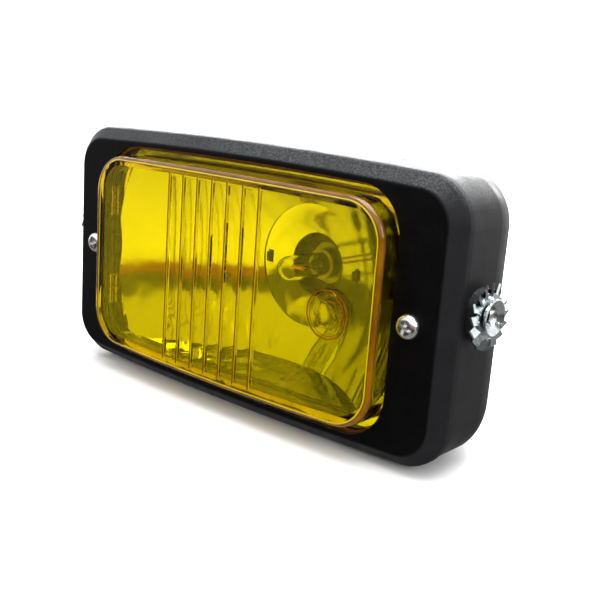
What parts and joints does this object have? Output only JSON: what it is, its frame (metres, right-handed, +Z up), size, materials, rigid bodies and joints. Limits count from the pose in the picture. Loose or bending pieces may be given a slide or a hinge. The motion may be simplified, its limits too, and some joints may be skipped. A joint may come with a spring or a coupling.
{
  "type": "fog light",
  "caption": "Rectangular car fog light: black bezel and shell, fluted yellow glass, reflector and bulb, threaded side pivots with toothed washers.",
  "frame": {"origin": "middle of the overall box at the bottom edge of the bezel", "axes": "front of the lamp faces -Y, +X runs along the side pivots, +Z up"},
  "size_m": [0.19, 0.0922, 0.0944],
  "materials": {
    "bezel_plastic": "fine-grained moulded black plastic",
    "shell_plastic": "moulded black plastic, slight sheen",
    "yellow_glass": "pressed selective-yellow glass",
    "black_rubber": "moulded rubber",
    "mirror_coat": "aluminised and lacquered",
    "spring_steel": "bright spring steel",
    "zinc_steel": "bright zinc plated",
    "chrome_screw": "chrome plated",
    "holder_steel": "dull pressed steel",
    "clear_glass": "clear hard glass",
    "tungsten": "drawn wire",
    "bulb_metal": "nickel plated",
    "ceramic_white": "matt steatite",
    "lead_red": "soft PVC insulation",
    "lead_brown": "soft PVC insulation",
    "sleeve_orange": "translucent vinyl sleeve",
    "block_plastic": "phenolic moulding",
    "brass_blade": "bright brass"
  },
  "bodies": {
    "housing": {"rear_housing": "shell_plastic", "housing_seal": "black_rubber", "terminal_block": "block_plastic", "live_blade": "brass_blade", "earth_blade": "brass_blade", "breather": "black_rubber", "screw_inserts": "brass_blade", "pivot_bush_left": "zinc_steel", "pivot_bush_right": "zinc_steel", "pivot_nuts": "zinc_steel"},
    "front_unit": {"front_bezel": "bezel_plastic", "lens": "yellow_glass", "lens_gasket": "black_rubber", "reflector_gasket": "black_rubber", "reflector": "mirror_coat", "lens_clips": "spring_steel", "bulb_holder": "holder_steel", "bulb_base": "bulb_metal", "bulb_glass": "clear_glass", "bulb_filament": "tungsten", "bulb_insulator": "ceramic_white", "live_lead": "lead_red", "earth_lead": "lead_brown", "live_receptacle": "sleeve_orange", "earth_receptacle": "sleeve_orange"},
    "bulb_clip": {"bulb_clip": "spring_steel"},
    "screw_left": {"bezel_screw_left": "chrome_screw"},
    "screw_right": {"bezel_screw_right": "chrome_screw"},
    "washer_left": {"toothed_washer_left": "zinc_steel"},
    "washer_right": {"toothed_washer_right": "zinc_steel"}
  },
  "joints": [
    {"name": "front_release", "type": "slide", "parent": "housing", "child": "front_unit", "axis": [0, -1, 0], "range_m": [0, 0.085]},
    {"name": "screw_left_turn", "type": "hinge", "parent": "front_unit", "child": "screw_left", "pos_m": [-0.0754, -0.03785, 0.0472], "axis": [0, -1, 0], "continuous": true},
    {"name": "screw_right_turn", "type": "hinge", "parent": "front_unit", "child": "screw_right", "pos_m": [0.0754, -0.03785, 0.0472], "axis": [0, -1, 0], "continuous": true},
    {"name": "bulb_clip_swing", "type": "hinge", "parent": "front_unit", "child": "bulb_clip", "pos_m": [-0.017, 0.0195, 0.0472], "axis": [0, 0, 1], "range_deg": [0, 20]},
    {"name": "washer_left_turn", "type": "hinge", "parent": "housing", "child": "washer_left", "pos_m": [-0.093, -0.02205, 0.0518], "axis": [-1, 0, 0], "continuous": true},
    {"name": "washer_right_turn", "type": "hinge", "parent": "housing", "child": "washer_right", "pos_m": [0.093, -0.02205, 0.0518], "axis": [1, 0, 0], "continuous": true}
  ]
}
